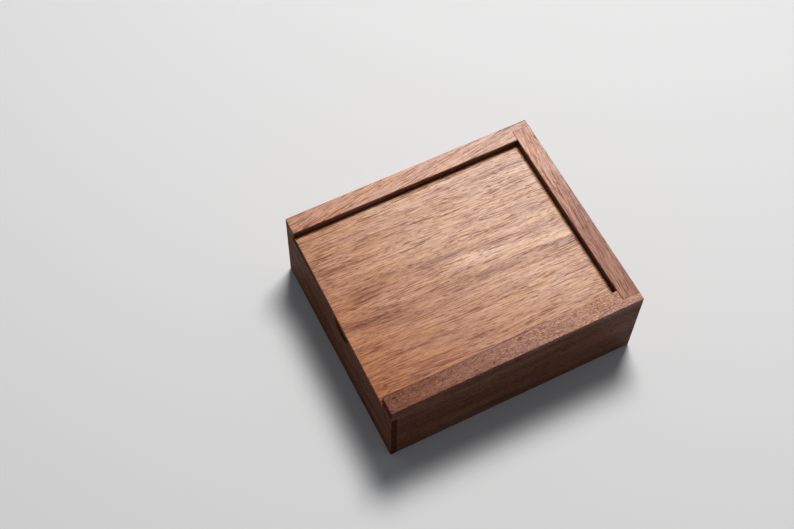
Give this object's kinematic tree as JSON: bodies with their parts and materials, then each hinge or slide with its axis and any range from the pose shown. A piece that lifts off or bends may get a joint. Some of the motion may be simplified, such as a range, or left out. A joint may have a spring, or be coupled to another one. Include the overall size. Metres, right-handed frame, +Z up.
{
  "type": "sliding lid box",
  "caption": "Low rectangular wooden box with a sunk flat lid that slides in grooves over a low end wall with a finger notch.",
  "frame": {"origin": "middle of the footprint, lid overhang included, at the level of the surface that the box stands on", "axes": "+X along the long boards towards the closed end, +Y towards the back board, +Z up; the lid leaves towards -X"},
  "size_m": [0.1852, 0.1586, 0.0666],
  "materials": {
    "front_wall_walnut": "oiled",
    "back_wall_walnut": "oiled",
    "right_wall_walnut": "oiled",
    "left_wall_walnut": "oiled",
    "bottom_panel_walnut": "oiled",
    "lid_walnut": "oiled"
  },
  "bodies": {
    "case": {"front_wall": "front_wall_walnut", "back_wall": "back_wall_walnut", "right_wall": "right_wall_walnut", "left_wall": "left_wall_walnut", "bottom_panel": "bottom_panel_walnut"},
    "lid": {"lid": "lid_walnut"}
  },
  "joints": [
    {"name": "lid_slide", "type": "slide", "parent": "case", "child": "lid", "axis": [-1, 0, 0], "range_m": [0, 0.184]}
  ]
}
